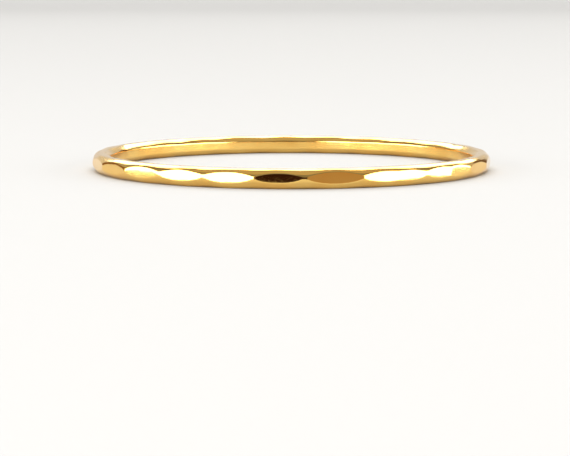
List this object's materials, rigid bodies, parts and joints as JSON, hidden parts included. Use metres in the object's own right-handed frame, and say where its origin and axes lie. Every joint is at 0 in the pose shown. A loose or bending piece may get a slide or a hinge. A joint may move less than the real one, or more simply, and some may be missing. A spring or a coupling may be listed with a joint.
{
  "type": "stackable ring",
  "caption": "Thin hammered gold stacking ring: a round-wire hoop struck with flat marks all round its outside, open through the middle for a finger.",
  "frame": {"origin": "the middle of the ring, on the surface that it lies on", "axes": "+Z along the ring's own axis, up; -Y is the front, and the ring lies on its side in the XY plane"},
  "size_m": [0.019, 0.019, 0.0009],
  "materials": {
    "polished_gold": "polished yellow gold with bright hammer marks"
  },
  "bodies": {
    "root": {"hammered_band": "polished_gold"}
  },
  "joints": []
}
